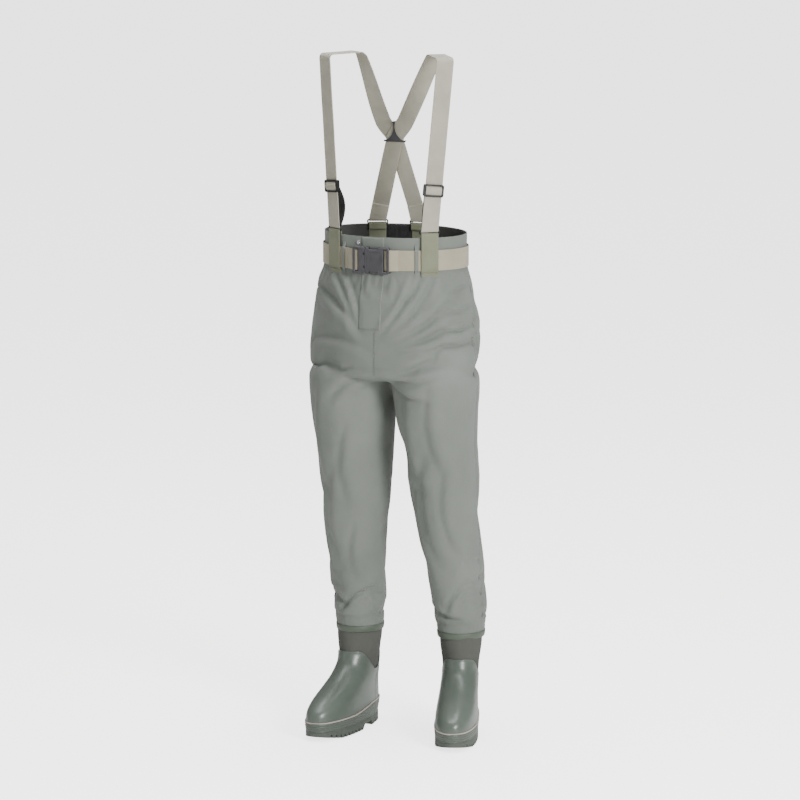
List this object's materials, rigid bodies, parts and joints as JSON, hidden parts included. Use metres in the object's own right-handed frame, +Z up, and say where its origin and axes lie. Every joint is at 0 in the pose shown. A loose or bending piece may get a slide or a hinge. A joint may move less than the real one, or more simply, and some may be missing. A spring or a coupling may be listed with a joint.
{
  "type": "chest waders",
  "caption": "Stocking-leg waders of laminated fabric with elastic crossed suspenders, a side-release belt and moulded rubber boots with a neoprene top.",
  "frame": {"origin": "on the ground, midway between the ankles and between toes and heels, about 6 mm from the centre of the overall box because one boot turns out more", "axes": "+Z up, the wearer faces -Y, the wearer's left is +X"},
  "size_m": [0.391, 0.2978, 1.5288],
  "materials": {
    "shell_fabric": "matt woven nylon, coated on the inside",
    "facing_fabric": "dark woven lining",
    "elastic": "black gathered elastic",
    "belt_webbing": "flat woven webbing",
    "strap_webbing": "elastic woven webbing",
    "tab_webbing": "flat woven webbing",
    "buckle_plastic": "moulded acetal, fine texture",
    "wire_black": "black coated wire",
    "stud_metal": "pressed and plated",
    "boot_rubber": "moulded, satin",
    "sole_rubber": "moulded, matt",
    "neoprene": "neoprene with a knitted face",
    "seam_tape": "smooth bonded tape",
    "pale_line": "painted rubber bead",
    "footbed_foam": "cloth-faced foam"
  },
  "bodies": {
    "waders": {"belt_band": "belt_webbing", "belt_lead": "belt_webbing", "buckle_socket": "buckle_plastic", "fly_flap": "shell_fabric", "left_back_panel": "shell_fabric", "left_belt_loop": "shell_fabric", "left_boot_upper": "boot_rubber", "left_front_panel": "shell_fabric", "left_front_ring": "wire_black", "left_front_tab": "tab_webbing", "left_insole": "footbed_foam", "left_neoprene_bootie": "neoprene", "left_outsole": "sole_rubber", "left_pinstripe": "pale_line", "left_rand": "boot_rubber", "left_rear_ring": "wire_black", "left_rear_tab": "tab_webbing", "left_return_ply": "strap_webbing", "left_seam_band": "seam_tape", "left_strap": "strap_webbing", "left_strap_end": "strap_webbing", "press_stud": "stud_metal", "rear_belt_loop": "shell_fabric", "rear_elastic": "elastic", "right_back_panel": "shell_fabric", "right_belt_loop": "shell_fabric", "right_boot_upper": "boot_rubber", "right_front_panel": "shell_fabric", "right_front_ring": "wire_black", "right_front_tab": "tab_webbing", "right_insole": "footbed_foam", "right_neoprene_bootie": "neoprene", "right_outsole": "sole_rubber", "right_pinstripe": "pale_line", "right_rand": "boot_rubber", "right_rear_ring": "wire_black", "right_rear_tab": "tab_webbing", "right_return_ply": "strap_webbing", "right_seam_band": "seam_tape", "right_strap": "strap_webbing", "right_strap_end": "strap_webbing", "strap_crosser": "buckle_plastic", "waist_facing": "facing_fabric"},
    "buckle_plug": {"buckle_plug": "buckle_plastic"},
    "upper_prong": {"upper_prong": "buckle_plastic"},
    "lower_prong": {"lower_prong": "buckle_plastic"},
    "right_adjuster": {"right_adjuster": "wire_black"},
    "left_adjuster": {"left_adjuster": "wire_black"}
  },
  "joints": [
    {"name": "buckle_release", "type": "slide", "parent": "waders", "child": "buckle_plug", "axis": [-1, 0, 0], "range_m": [0, 0.034], "deforming": ["belt_lead"]},
    {"name": "upper_prong_press", "type": "hinge", "parent": "buckle_plug", "child": "upper_prong", "pos_m": [-0.0278, -0.136, 1.09], "axis": [0, 1, 0], "range_deg": [0, 6.5], "stiffness_Nm_per_rad": 0.6},
    {"name": "lower_prong_press", "type": "hinge", "parent": "buckle_plug", "child": "lower_prong", "pos_m": [-0.0278, -0.136, 1.061], "axis": [0, -1, 0], "range_deg": [0, 6.5], "stiffness_Nm_per_rad": 0.6},
    {"name": "right_adjuster_slide", "type": "slide", "parent": "waders", "child": "right_adjuster", "axis": [-0.0742, 0.0471, 0.9961], "range_m": [-0.06, 0.025], "deforming": ["right_return_ply"]},
    {"name": "left_adjuster_slide", "type": "slide", "parent": "waders", "child": "left_adjuster", "axis": [0.0742, 0.0471, 0.9961], "range_m": [-0.06, 0.025], "deforming": ["left_return_ply"]}
  ]
}
